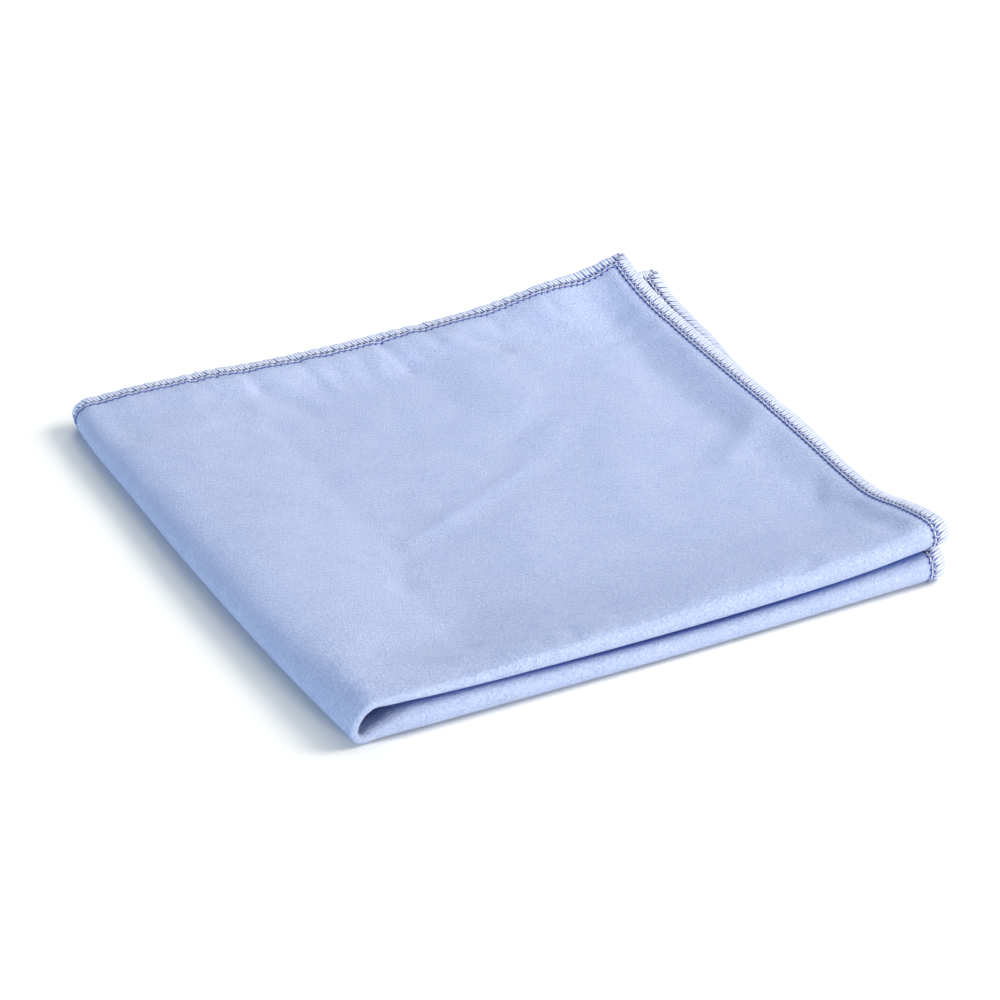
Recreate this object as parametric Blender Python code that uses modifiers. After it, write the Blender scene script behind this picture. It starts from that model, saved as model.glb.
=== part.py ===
"""A microfibre cloth with an overlocked edge, folded in half twice and lying flat.

The cloth is one square sheet. Its points are followed from the open sheet, through the
first fold, to the second one:

  across (u)  from -200 to 200 mm. u = 0 is the second fold, which becomes the left edge.
              u > 0 stays below and u < 0 is turned over on top of it.
  down (v)    from -200 to 200 mm. v = 0 is the first fold, which becomes the front edge.
              v < 0 is the outer ply of each pair and v > 0 the inner one.

So four plies lie on each other: the outer and inner ply of the lower pair, then the inner
and outer ply of the upper pair. Named sizes are in millimetres, and the mesh is in metres.
+X runs along the front fold to the hemmed right edge, +Y to the hemmed back edge.
"""

from collections import namedtuple

import bmesh
import bpy
import numpy as np

MM = 0.001

# Sheet
SIDE = 400.0
HALF = SIDE / 2
CLOTH_THICKNESS = 1.0
HEM_THICKNESS = 1.8
HEM_WIDTH = 5.4
HEM_SLOPE = 2.0
HEM_DRAPE = 16.0
PLY_GAP = 0.5
HEM_PLY_GAP = 0.3
PAIR_GAP = 1.2

# First fold: the front edge, from the upper pair's right end to the lower pair's.
FrontFold = namedtuple("FrontFold", "across radius reach tip_y")
FRONT_FOLD = (
    FrontFold(-200, 4.3, 58, -103.4),
    FrontFold(-160, 4.1, 45, -102.6),
    FrontFold(-110, 3.2, 34, -101.2),
    FrontFold(-75, 2.8, 30, -100.6),
    FrontFold(-50, 2.2, 26, -100.0),
    FrontFold(-30, 1.7, 22, -99.8),
    FrontFold(-12, 1.4, 20, -99.6),
    FrontFold(3, 1.3, 18, -98.7),
    FrontFold(10, 2.7, 20, -99.1),
    FrontFold(17, 4.1, 22, -100.2),
    FrontFold(30, 4.3, 24, -100.8),
    FrontFold(55, 4.0, 28, -101.3),
    FrontFold(110, 3.5, 30, -102.3),
    FrontFold(160, 4.0, 34, -102.9),
    FrontFold(200, 5.2, 40, -103.5),
)

# Second fold: the left edge, from front to back, on the middle of the folded pair. Behind the
# shoulder the gap between the pairs closes along the length of fade, sooner where ease is low.
LeftFold = namedtuple("LeftFold", "y nose_x lower_radius shoulder_length shoulder_height fade ease")
LEFT_FOLD = (
    LeftFold(-105, -99.4, 3.4, 6.6, 8.8, 38, 0.6),
    LeftFold(-60, -102.2, 4.6, 11.0, 7.2, 50, 0.85),
    LeftFold(0, -103.0, 4.6, 10.6, 6.2, 58, 1.0),
    LeftFold(50, -102.0, 4.1, 9.4, 5.3, 66, 1.0),
    LeftFold(86, -100.8, 3.8, 8.0, 4.8, 72, 1.0),
    LeftFold(101, -98.3, 3.1, 9.4, 4.0, 70, 1.0),
)

# The upper pair stands up at the hemmed back right corner.
CORNER_ALONG_BACK = 43.0
CORNER_ALONG_RIGHT = 26.0
CORNER_LIFT = 7.5
TIP_LIFT = 1.7
TIP_LENGTH = 9.0

# It stands up a little at the front right corner too, where its hem flares out.
FRONT_CORNER_LIFT = 1.2
FRONT_CORNER_LENGTH = 18.0
FLARE = 1.1
FLARE_LENGTH = 9.0

# The plies don't end together. How far each is slid to the right, by the distance from the
# front fold, and how far forward its back right corner is pulled.
RightEnd = namedtuple("RightEnd", "from_front lower_outer lower_inner upper_inner upper_outer")
RIGHT_ENDS = (
    RightEnd(0, -2.0, -2.0, 0.8, 0.8),
    RightEnd(20, -1.2, -1.2, 0.9, 0.4),
    RightEnd(50, 0.4, 1.0, 2.4, 1.5),
    RightEnd(100, 2.9, 3.8, 4.6, 1.5),
    RightEnd(140, 4.0, 4.4, 4.0, 0.6),
    RightEnd(165, 4.6, 5.6, 6.8, 0.3),
    RightEnd(200, 5.6, 6.0, 6.6, -0.5),
)
Pull = namedtuple("Pull", "lower_outer lower_inner upper_inner upper_outer")
CORNER_FORWARD = Pull(6.0, 7.5, 8.5, 0.0)

# Plan of the edges.
BACK_LEAN = -7.8
RIGHT_BOW = 4.5
BACK_HOLLOW = 1.2
BLUNT_CORNER = 0.9
BLUNT_LENGTH = 4.0
ORIGIN_X = -4.70
ORIGIN_Y = -1.38

# Grid lines of the mesh: from the fold outwards.
Lines = namedtuple("Lines", "start stop step")
FOLD_LINES = (
    Lines(0, 12, 1.5),
    Lines(12, 30, 4.5),
    Lines(30, 60, 10.0),
    Lines(60, 177, 15.0),
    Lines(177, 193, 8.0),
    Lines(193, 195, 2.0),
    Lines(195, 200, 2.5),
)

CLOTH_BLUE = (0.42, 0.53, 0.86, 1.0)
CLOTH_ROUGHNESS = 0.95


def smooth_step(value):
    """0 below 0 and 1 above 1, with level ends."""
    part = np.clip(value, 0.0, 1.0)
    return part * part * (3.0 - 2.0 * part)


def read_rows(rows, column, places):
    """A column of a table, read at any places with a smooth curve through its rows."""
    knots = np.array([row[0] for row in rows], float)
    values = np.array([getattr(row, column) for row in rows], float)
    slopes = np.gradient(values, knots)
    low = np.clip(np.searchsorted(knots, places) - 1, 0, len(rows) - 2)
    span = knots[low + 1] - knots[low]
    part = np.clip((places - knots[low]) / span, 0.0, 1.0)
    rest = 1.0 - part
    ends = values[low] * (1 + 2 * part) * rest**2 + values[low + 1] * (3 - 2 * part) * part**2
    leans = slopes[low] * part * rest**2 - slopes[low + 1] * part**2 * rest
    return ends + span * leans


def hem_share(across, down, slope):
    """1 on the hem, fading to 0 on the plain cloth along the slope's length."""
    inset = HALF - np.maximum(np.abs(across), np.abs(down))
    return smooth_step((HEM_WIDTH + slope - inset) / slope)


def corner_lift(from_fold, from_front):
    """How high the upper pair stands, by its place in the plan."""
    along_back = (HALF - from_fold) / CORNER_ALONG_BACK
    along_right = (HALF - from_front) / CORNER_ALONG_RIGHT
    lift = CORNER_LIFT * np.exp(-(along_back**2) - along_right**2)
    from_right, from_back = HALF - from_fold, HALF - from_front
    lift = lift + TIP_LIFT * np.exp(-(from_right**2 + from_back**2) / TIP_LENGTH**2)
    from_corner = from_right**2 + from_front**2
    return lift + FRONT_CORNER_LIFT * np.exp(-from_corner / FRONT_CORNER_LENGTH**2)


def over_hem(across, down):
    """How far in its pair's hems reach, seen from a place on an outer ply: the inner ply's back
    hem is pulled further forward."""
    upper = CORNER_FORWARD.upper_inner - CORNER_FORWARD.upper_outer
    lower = CORNER_FORWARD.lower_inner - CORNER_FORWARD.lower_outer
    pull = np.where(across < 0, upper, lower) * np.where(down < 0, 1.0, 0.0)
    near_right = smooth_step(np.abs(across) / HALF)
    near_back = smooth_step(2 * np.abs(down) / HALF)
    return np.abs(down) + pull * near_right * near_back


def pair_half_height(across, down):
    """Half the height of a folded pair of plies, from skin to skin."""
    cloth = CLOTH_THICKNESS + PLY_GAP / 2
    hem = HEM_THICKNESS + HEM_PLY_GAP / 2
    flat = cloth + (hem - cloth) * hem_share(across, over_hem(across, down), HEM_DRAPE)
    radius = read_rows(FRONT_FOLD, "radius", across)
    reach = read_rows(FRONT_FOLD, "reach", across)
    behind_nose = np.abs(down) - radius * np.pi / 2
    return radius + (flat - radius) * smooth_step(behind_nose / reach)


def fold_front(across, down):
    """First fold. Gives y, and the skin's height from the middle of its pair."""
    radius = read_rows(FRONT_FOLD, "radius", across)
    length = np.abs(down)
    angle = np.minimum(length / radius, np.pi / 2)
    y = read_rows(FRONT_FOLD, "tip_y", across)
    y = y + radius * (1 - np.cos(angle)) + np.maximum(length - radius * np.pi / 2, 0.0)
    height = pair_half_height(across, down) * np.sin(angle) * np.sign(down)
    return y, height


def fold_left(across, down, y, height, lift):
    """Second fold. Gives x and z of the skin."""
    nose_x = read_rows(LEFT_FOLD, "nose_x", y)
    radius = read_rows(LEFT_FOLD, "lower_radius", y)
    length = read_rows(LEFT_FOLD, "shoulder_length", y)
    rise = read_rows(LEFT_FOLD, "shoulder_height", y)
    fade = read_rows(LEFT_FOLD, "fade", y)
    ease = read_rows(LEFT_FOLD, "ease", y)
    half = pair_half_height(across, down)
    lower_half = pair_half_height(np.abs(across), down)
    quarter = radius * np.pi / 2
    shoulder = np.pi / 4 * (3 * (length + rise) - np.sqrt((3 * length + rise) * (length + 3 * rise)))
    nose_z = half + radius

    # Lower run and lower quarter of the nose
    turn = np.clip(across / quarter, 0.0, 1.0) * np.pi / 2
    low_x = nose_x + radius - (radius - height) * np.cos(turn) + np.maximum(across - quarter, 0.0)
    low_z = nose_z - (radius - height) * np.sin(turn)

    # Shoulder, a quarter of an ellipse, and the upper run
    part = np.clip(-across / shoulder, 0.0, 1.0)
    part = part + (length - rise) / (length + rise) * part * (1 - part)
    turn = part * np.pi / 2
    out_x, out_z = rise * np.cos(turn), length * np.sin(turn)
    scale = height / np.hypot(out_x, out_z)
    beyond = np.maximum(-across - shoulder, 0.0)
    top_x = nose_x + length * (1 - np.cos(turn)) + out_x * scale + beyond
    high = nose_z + rise
    low = 2 * lower_half + PAIR_GAP + lift + half
    run_z = high + (low - high) * smooth_step((beyond / fade) ** ease) - height
    nose_top_z = nose_z + rise * np.sin(turn) - out_z * scale
    top_z = np.where(beyond > 0, run_z, nose_top_z)

    above = across < 0
    return np.where(above, top_x, low_x), np.where(above, top_z, low_z)


def slide(across, down):
    """How far the plies slide on each other: not at all at the folds that they share."""
    near_right = smooth_step(np.abs(across) / HALF)
    from_front = np.abs(down)
    near_back = smooth_step(2 * from_front / HALF)
    right, forward = np.zeros_like(near_right), np.zeros_like(near_right)
    for ply in Pull._fields:
        on_ply = (across < 0) == ply.startswith("upper")
        on_ply = on_ply & ((down >= 0) == ply.endswith("inner"))
        right = np.where(on_ply, read_rows(RIGHT_ENDS, ply, from_front) * near_right, right)
        pull = getattr(CORNER_FORWARD, ply) * near_right * near_back
        forward = np.where(on_ply, pull, forward)
    flare = FLARE * near_right * np.exp(-((down / FLARE_LENGTH) ** 2))
    return right + np.where(across < 0, flare, 0.0), forward


def lay_out(x, y):
    """The plan as it lies: the back leans left, and the hemmed edges aren't straight."""
    along = x / (HALF / 2)
    back = (y + HALF / 2) / HALF
    right = (x + HALF / 2) / HALF
    lean = BACK_LEAN * back
    bow = RIGHT_BOW * right * 4 * back * (1 - back)
    hollow = BACK_HOLLOW * back * (1 - along**2)
    return x + lean + bow, y - hollow


def blunt_corners(across, down):
    """The open sheet with its four corners drawn in a little."""
    from_corner = (HALF - np.abs(across)) ** 2 + (HALF - np.abs(down)) ** 2
    inward = BLUNT_CORNER * np.exp(-from_corner / BLUNT_LENGTH**2)
    return across - np.sign(across) * inward, down - np.sign(down) * inward


def folded(across, down):
    """The outer skin of the cloth in millimetres, for points of the open sheet."""
    across, down = blunt_corners(across, down)
    right, forward = slide(across, down)
    lift = corner_lift(np.abs(across) + right, np.abs(down) - forward)
    y, height = fold_front(across, down)
    x, z = fold_left(across, down, y, height, lift)
    x, y = lay_out(x + right, y - forward)
    return x - ORIGIN_X, y - ORIGIN_Y, z


def grid_lines():
    """Places of the mesh's lines from edge to edge of the open sheet."""
    places = [0.0]
    for lines in FOLD_LINES:
        count = max(1, round((lines.stop - lines.start) / lines.step))
        places.extend(np.linspace(lines.start, lines.stop, count + 1)[1:])
    places = np.array(places)
    return np.concatenate([-places[:0:-1], places])


def cloth_material():
    material = bpy.data.materials.new("microfibre")
    material.use_nodes = True
    shader = material.node_tree.nodes["Principled BSDF"]
    shader.inputs["Base Color"].default_value = CLOTH_BLUE
    shader.inputs["Roughness"].default_value = CLOTH_ROUGHNESS
    shader.inputs["Metallic"].default_value = 0.0
    return material


def cloth_skin(name):
    """The open sheet as a grid, folded by moving its points."""
    lines = grid_lines()
    last = len(lines) - 1
    shape = bmesh.new()
    bmesh.ops.create_grid(shape, x_segments=last, y_segments=last, size=last / 2)
    flat = np.array([point.co for point in shape.verts]) + last / 2
    columns, rows = np.rint(flat[:, 0]).astype(int), np.rint(flat[:, 1]).astype(int)
    across, down = lines[columns], lines[rows]
    x, y, z = folded(across, down)
    for point, place in zip(shape.verts, np.column_stack([x, y, z]) * MM):
        point.co = place
    for face in shape.faces:
        face.smooth = True
    mesh = bpy.data.meshes.new(name)
    shape.to_mesh(mesh)
    shape.free()
    return mesh, hem_share(across, down, HEM_SLOPE)


def make_cloth(collection):
    mesh, hem = cloth_skin("cloth")
    cloth = bpy.data.objects.new("cloth", mesh)
    collection.objects.link(cloth)
    mesh.materials.append(cloth_material())
    group = cloth.vertex_groups.new(name="thickness")
    plain = CLOTH_THICKNESS / HEM_THICKNESS
    for index, share in enumerate(hem):
        group.add([index], plain + (1 - plain) * float(share), "REPLACE")
    solid = cloth.modifiers.new("Thickness", "SOLIDIFY")
    solid.thickness = HEM_THICKNESS * MM
    solid.offset = -1
    solid.use_even_offset = True
    solid.vertex_group = group.name
    return cloth


def main():
    for old in list(bpy.data.objects):
        bpy.data.objects.remove(old, do_unlink=True)
    collection = bpy.data.collections.new("microfibre_cloth")
    bpy.context.scene.collection.children.link(collection)
    make_cloth(collection)


main()
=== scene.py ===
"""The looks of a folded microfibre cloth: its fine surface with creases and puckers, the overlock
stitching round its edge, a plain floor, soft studio light and the camera.

The cloth is the same folded sheet as the solid. Its points are followed from the open sheet:

  across (u)  from -200 to 200 mm. u = 0 is the second fold, the left edge. u > 0 is the lower
              pair of plies and u < 0 the upper pair.
  down (v)    from -200 to 200 mm. v = 0 is the first fold, the front edge. v < 0 is the outer
              ply of each pair and v > 0 the inner one.

Named sizes are in millimetres, and the meshes are in metres.
"""

import math
from collections import namedtuple

import bmesh
import bpy
import numpy as np
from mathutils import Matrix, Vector


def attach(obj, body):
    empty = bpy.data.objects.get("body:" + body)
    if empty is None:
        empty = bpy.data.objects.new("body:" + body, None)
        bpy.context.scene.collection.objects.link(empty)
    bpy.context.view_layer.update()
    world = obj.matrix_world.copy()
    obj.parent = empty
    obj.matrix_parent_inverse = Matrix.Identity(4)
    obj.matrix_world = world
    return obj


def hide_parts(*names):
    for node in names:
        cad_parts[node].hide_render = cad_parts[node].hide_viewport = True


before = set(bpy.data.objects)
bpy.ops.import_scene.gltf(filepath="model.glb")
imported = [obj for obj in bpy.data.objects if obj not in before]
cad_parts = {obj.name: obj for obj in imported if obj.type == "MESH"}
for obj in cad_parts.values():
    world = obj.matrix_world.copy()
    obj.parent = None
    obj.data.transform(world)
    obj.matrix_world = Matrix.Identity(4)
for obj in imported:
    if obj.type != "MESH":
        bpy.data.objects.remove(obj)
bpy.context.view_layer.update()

MM = 0.001

# ---------------------------------------------------------------- the folded sheet, as the solid

SIDE = 400.0
HALF = SIDE / 2
CLOTH_THICKNESS = 1.0
HEM_THICKNESS = 1.8
HEM_WIDTH = 5.4
HEM_DRAPE = 16.0
PLY_GAP = 0.5
HEM_PLY_GAP = 0.3
PAIR_GAP = 1.2

# First fold: the front edge, from the upper pair's right end to the lower pair's.
FrontFold = namedtuple("FrontFold", "across radius reach tip_y")
FRONT_FOLD = (
    FrontFold(-200, 4.3, 58, -103.4),
    FrontFold(-160, 4.1, 45, -102.6),
    FrontFold(-110, 3.2, 34, -101.2),
    FrontFold(-75, 2.8, 30, -100.6),
    FrontFold(-50, 2.2, 26, -100.0),
    FrontFold(-30, 1.7, 22, -99.8),
    FrontFold(-12, 1.4, 20, -99.6),
    FrontFold(3, 1.3, 18, -98.7),
    FrontFold(10, 2.7, 20, -99.1),
    FrontFold(17, 4.1, 22, -100.2),
    FrontFold(30, 4.3, 24, -100.8),
    FrontFold(55, 4.0, 28, -101.3),
    FrontFold(110, 3.5, 30, -102.3),
    FrontFold(160, 4.0, 34, -102.9),
    FrontFold(200, 5.2, 40, -103.5),
)

# Second fold: the left edge, from front to back, on the middle of the folded pair. Behind the
# shoulder the gap between the pairs closes along the length of fade, sooner where ease is low.
LeftFold = namedtuple("LeftFold", "y nose_x lower_radius shoulder_length shoulder_height fade ease")
LEFT_FOLD = (
    LeftFold(-105, -99.4, 3.4, 6.6, 8.8, 38, 0.6),
    LeftFold(-60, -102.2, 4.6, 11.0, 7.2, 50, 0.85),
    LeftFold(0, -103.0, 4.6, 10.6, 6.2, 58, 1.0),
    LeftFold(50, -102.0, 4.1, 9.4, 5.3, 66, 1.0),
    LeftFold(86, -100.8, 3.8, 8.0, 4.8, 72, 1.0),
    LeftFold(101, -98.3, 3.1, 9.4, 4.0, 70, 1.0),
)

# The upper pair stands up at the hemmed back right corner.
CORNER_ALONG_BACK = 43.0
CORNER_ALONG_RIGHT = 26.0
CORNER_LIFT = 7.5
TIP_LIFT = 1.7
TIP_LENGTH = 9.0

# It stands up a little at the front right corner too, where its hem flares out.
FRONT_CORNER_LIFT = 1.2
FRONT_CORNER_LENGTH = 18.0
FLARE = 1.1
FLARE_LENGTH = 9.0

# The plies don't end together. How far each is slid to the right, by the distance from the
# front fold, and how far forward its back right corner is pulled.
RightEnd = namedtuple("RightEnd", "from_front lower_outer lower_inner upper_inner upper_outer")
RIGHT_ENDS = (
    RightEnd(0, -2.0, -2.0, 0.8, 0.8),
    RightEnd(20, -1.2, -1.2, 0.9, 0.4),
    RightEnd(50, 0.4, 1.0, 2.4, 1.5),
    RightEnd(100, 2.9, 3.8, 4.6, 1.5),
    RightEnd(140, 4.0, 4.4, 4.0, 0.6),
    RightEnd(165, 4.6, 5.6, 6.8, 0.3),
    RightEnd(200, 5.6, 6.0, 6.6, -0.5),
)
Pull = namedtuple("Pull", "lower_outer lower_inner upper_inner upper_outer")
CORNER_FORWARD = Pull(6.0, 7.5, 8.5, 0.0)

# Plan of the edges.
BACK_LEAN = -7.8
RIGHT_BOW = 4.5
BACK_HOLLOW = 1.2
BLUNT_CORNER = 0.9
BLUNT_LENGTH = 4.0
ORIGIN_X = -4.70
ORIGIN_Y = -1.38

# ---------------------------------------------------------------- what only the looks have

# Creases of the top ply, as soft ridges and troughs along straight stretches. Places are
# measured along the cloth from the left fold and from the front fold.
Crease = namedtuple("Crease", "left front end_left end_front width height")
CREASES = (
    # where the cloth comes down from the big left fold
    Crease(51, 24, 51, 60, 5.0, -0.4),
    Crease(51, 60, 60, 84, 4.0, -0.5),
    Crease(55, 88, 56, 160, 5.0, -0.5),
    Crease(62, 34, 63, 56, 14.0, -0.5),
    Crease(8, 162, 24, 148, 2.6, 0.35),
    # slanting soft fold across the middle
    Crease(62, 84, 80, 90.5, 3.0, 0.6),
    Crease(80, 90.5, 116, 107.5, 2.8, 0.5),
    Crease(72, 80, 118, 102, 6.0, -0.35),
    # pressed lines behind the front fold
    Crease(10, 21, 30, 17, 3.0, 0.5),
    Crease(30, 17, 48, 15.5, 3.0, 0.4),
    Crease(56, 22.5, 76, 25, 2.0, 0.35),
    Crease(76, 25, 110, 25, 2.0, 0.45),
    Crease(53, 11, 60, 14, 5.0, -0.5),
    # broad dents of the middle
    Crease(130, 182, 129, 142, 11.0, 1.2),
    Crease(113, 176, 112, 150, 6.0, -0.5),
    Crease(133, 66, 141, 102, 9.0, 0.9),
    Crease(118, 124, 136, 138, 4.0, -0.45),
    Crease(125, 116, 141, 129, 4.0, 0.45),
    Crease(84, 140, 104, 144, 6.0, -0.5),
    Crease(90, 62, 96, 46, 6.0, 0.5),
    # by the right hem
    Crease(172, 83, 188, 96, 4.6, 1.2),
    Crease(164, 92, 184, 106, 6.0, -0.6),
    Crease(184, 52, 188, 58, 2.8, -1.1),
    Crease(176, 12, 177, 46, 11.0, -1.1),
    Crease(187, 11, 187, 19, 4.0, -1.3),
    Crease(186, 25, 189, 40, 3.4, -0.8),
    Crease(198, 24, 198, 92, 5.0, 0.5),
    Crease(138, 170, 180, 170, 9.0, 0.5),
    Crease(201, 108, 201, 184, 11.0, 1.2),
    Crease(178, 116, 182, 188, 10.0, -2.0),
    Crease(160, 163, 186, 167, 2.4, -0.4),
    Crease(176, 161, 192, 161, 2.6, 0.5),
    # small dents over the front fold
    Crease(154, 7, 158, 10, 3.0, -0.7),
    Crease(68, 7, 69, 10, 2.6, -0.5),
    Crease(77, 7, 79, 11, 2.6, -0.7),
    Crease(94, 9, 96, 13, 3.0, -0.4),
)

# Puckers that run from the back hem's stitching into the top ply.
PUCKERS = (
    Crease(9, 196, 10, 170, 6.0, -1.3),
    Crease(20, 195, 20.5, 186, 1.6, -0.35),
    Crease(25, 195, 26, 186, 1.4, -0.3),
    Crease(32, 195, 33, 184, 1.7, -0.35),
    Crease(35, 184, 37, 170, 4.0, 0.7),
    Crease(41.5, 195, 45, 184, 2.2, -0.6),
    Crease(48, 195, 48, 188, 1.4, -0.35),
    Crease(52.5, 195, 53, 187, 1.4, -0.3),
    Crease(54, 190, 56, 170, 3.2, 0.5),
    Crease(58, 195, 61, 184, 2.4, -0.5),
    Crease(61, 184, 70, 168, 3.8, -0.9),
    Crease(66, 192, 74, 176, 3.0, 0.5),
    Crease(77.5, 195, 80, 181, 1.6, -0.6),
    Crease(81, 193, 84, 176, 2.2, 0.6),
    Crease(88, 194, 88, 182, 1.8, -0.4),
    Crease(97, 192, 98, 173, 3.0, -0.45),
    Crease(102, 190, 102, 180, 2.6, 0.35),
    Crease(106.5, 193, 111, 179, 2.4, -1.0),
    Crease(112, 178, 118, 166, 6.5, -0.6),
    Crease(118, 192, 122, 182, 3.0, 0.6),
    Crease(124, 194, 124, 184, 1.8, -0.6),
    Crease(129.5, 194, 130, 187, 1.4, -0.35),
    Crease(128, 184, 140, 169, 3.0, 0.6),
    Crease(135, 185, 143, 176, 3.0, -0.8),
    Crease(145, 194, 146, 184, 2.0, -0.7),
    Crease(151, 190, 166, 170, 4.4, -0.9),
    Crease(162, 190, 168, 179, 2.8, 0.4),
    Crease(167, 192, 167, 184, 1.9, -0.6),
    Crease(183, 192, 183, 178, 7.0, -1.1),
)

# Slow unevenness of the upper pair: wavelengths along both folds, phase and height.
Wave = namedtuple("Wave", "left_length front_length phase height")
WAVES = (
    Wave(61.0, 143.0, 0.4, 0.16),
    Wave(97.0, -71.0, 2.1, 0.16),
    Wave(37.0, 83.0, 4.4, 0.07),
    Wave(-29.0, 53.0, 1.3, 0.06),
)

# The lengths over which creases, puckers and waves fade in from the two folds, and how far the
# outer ply dips before the inner ply gives way, where the two lie close together.
RELIEF_FROM_LEFT = 12.0
RELIEF_FROM_FRONT = 7.0
LEAST_FREE = 0.05

# Ripples that the back hem's stitching draws into the cloth. Their length wanders and their
# height is uneven, over several ripples.
RUFFLE_HEIGHT = 0.2
RUFFLE_LENGTH = 5.1
RUFFLE_REACH = 12.0
RUFFLE_WANDER = 1.7
RUFFLE_WANDER_COUNT = 4.3
RUFFLE_UNEVEN = 0.3
RUFFLE_UNEVEN_COUNT = 7.1

# The cloth's own skin lies lower under the stitching, and is puffed up a little beside it.
HEM_SINK = 0.25
SINK_SLOPE = 3.5
PUFF_HEIGHT = 0.06
PUFF_INSET = 8.2
PUFF_WIDTH = 2.0

# How far from a point the skin's direction is measured.
NORMAL_STEP = 0.05

# Grid lines of the fine sheet, from each fold outwards, for the halves of both directions. The
# sheet ends a little inside the stitching.
Lines = namedtuple("Lines", "start stop step")
SHEET_INSET = 0.6
SHEET_END = HALF - SHEET_INSET
UPPER_LINES = (
    Lines(0, 14, 0.8),
    Lines(14, 178, 1.5),
    Lines(178, 190, 1.2),
    Lines(190, SHEET_END, 0.62),
)
LOWER_LINES = (Lines(0, 14, 1.0), Lines(14, 188, 4.0), Lines(188, SHEET_END, 1.0))
OUTER_LINES = (
    Lines(0, 12, 0.8),
    Lines(12, 160, 2.0),
    Lines(160, 190, 1.3),
    Lines(190, SHEET_END, 0.62),
)
INNER_LINES = (Lines(0, 12, 0.8), Lines(12, 188, 4.0), Lines(188, SHEET_END, 1.0))

# Overlock stitching. The strands are laid out in hem space: along the edge, inset from the
# edge, and height from the middle of the hem. Needle holes lie a little inside the needle line.
STITCH_COUNT = 177
STITCH_PITCH = SIDE / STITCH_COUNT
NEEDLE_INSET = 5.3
HOLE_ASIDE = 0.45

# Two thread bundles a stitch go over the edge. This is their path on one face, from the inner
# end, where they are narrower, thinner and closer together, to where they turn over the edge.
BundlePoint = namedtuple("BundlePoint", "inset height")
BUNDLE_PATH = (
    BundlePoint(4.3, 0.4),
    BundlePoint(3.9, 0.56),
    BundlePoint(3.3, 0.62),
    BundlePoint(2.5, 0.6),
    BundlePoint(1.7, 0.58),
    BundlePoint(1.0, 0.56),
)
EDGE_TURNS = (30, 60, 90, 120, 150)
EDGE_BULGE = 0.62
BUNDLE_HALF_WIDTH = 0.72
BUNDLE_HALF_THICKNESS = 0.42
BUNDLE_ASIDE = 0.56
BUNDLE_ASIDE_INNER = 0.42
BUNDLE_NARROWS = 0.25
NARROWS_FROM = 1.2
BUNDLE_THINS = 0.3
THINS_FROM = 3.2
THINS_LENGTH = 1.0
BUNDLE_SIDES = 8

# The chain of looper loops along the very edge, by its share of a stitch.
CHAIN_SHARES = (-0.62, -0.2, 0.2, 0.62)
CHAIN_INSET = 0.74
CHAIN_HALF_WIDTH = 0.58
CHAIN_HALF_HEIGHT = 0.72
CHAIN_SIDES = 8

# From a bundle's inner end to a needle hole, by the share of the way along the edge.
LegPoint = namedtuple("LegPoint", "share inset height")
LEG_PATH = (
    LegPoint(0.0, 3.6, 0.72),
    LegPoint(0.4, 4.2, 0.95),
    LegPoint(0.8, 4.85, 0.85),
    LegPoint(1.0, 5.4, 0.3),
)
LEG_ASIDE = 0.2
LEG_FLANK_ALONG = 0.6
LEG_FLANK_INWARD = 0.4
LEG_RADIUS = 0.25
LEG_SIDES = 6

# The needle thread between two holes, by its share of half a stitch.
DashPoint = namedtuple("DashPoint", "share height")
DASH_PATH = (
    DashPoint(-0.7, 0.4),
    DashPoint(-0.55, 0.85),
    DashPoint(-0.25, 1.0),
    DashPoint(0.25, 1.0),
    DashPoint(0.55, 0.85),
    DashPoint(0.7, 0.4),
)
DASH_HALF_WIDTH = 0.34
DASH_HALF_HEIGHT = 0.306
DASH_SIDES = 6

# Stitches lean onward at the edge. Near the corners they stand upright and are shorter, and
# strands reach past the corners by no more than the slack.
STITCH_LEAN = 1.9
LEAN_FROM_CORNER = 18.0
CORNER_MITRE = 1.6
CORNER_SLACK = 0.2

# How much the stitches differ: width and thickness as shares, lean and place in millimetres.
STITCH_SEED = 7
WIDTH_SPREAD = 0.05
THICKNESS_SPREAD = 0.06
LEAN_SPREAD = 0.08
PLACE_SPREAD = 0.04


def smooth_step(value):
    """0 below 0 and 1 above 1, with level ends."""
    part = np.clip(value, 0.0, 1.0)
    return part * part * (3.0 - 2.0 * part)


def read_rows(rows, column, places):
    """A column of a table, read at any places with a smooth curve through its rows."""
    knots = np.array([row[0] for row in rows], float)
    values = np.array([getattr(row, column) for row in rows], float)
    slopes = np.gradient(values, knots)
    low = np.clip(np.searchsorted(knots, places) - 1, 0, len(rows) - 2)
    span = knots[low + 1] - knots[low]
    part = np.clip((places - knots[low]) / span, 0.0, 1.0)
    rest = 1.0 - part
    ends = values[low] * (1 + 2 * part) * rest**2 + values[low + 1] * (3 - 2 * part) * part**2
    leans = slopes[low] * part * rest**2 - slopes[low + 1] * part**2 * rest
    return ends + span * leans


def hem_share(across, down, slope):
    """1 on the hem, fading to 0 on the plain cloth along the slope's length."""
    inset = HALF - np.maximum(np.abs(across), np.abs(down))
    return smooth_step((HEM_WIDTH + slope - inset) / slope)


def corner_lift(from_fold, from_front):
    """How high the upper pair stands, by its place in the plan."""
    along_back = (HALF - from_fold) / CORNER_ALONG_BACK
    along_right = (HALF - from_front) / CORNER_ALONG_RIGHT
    lift = CORNER_LIFT * np.exp(-(along_back**2) - along_right**2)
    from_right, from_back = HALF - from_fold, HALF - from_front
    lift = lift + TIP_LIFT * np.exp(-(from_right**2 + from_back**2) / TIP_LENGTH**2)
    from_corner = from_right**2 + from_front**2
    return lift + FRONT_CORNER_LIFT * np.exp(-from_corner / FRONT_CORNER_LENGTH**2)


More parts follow.
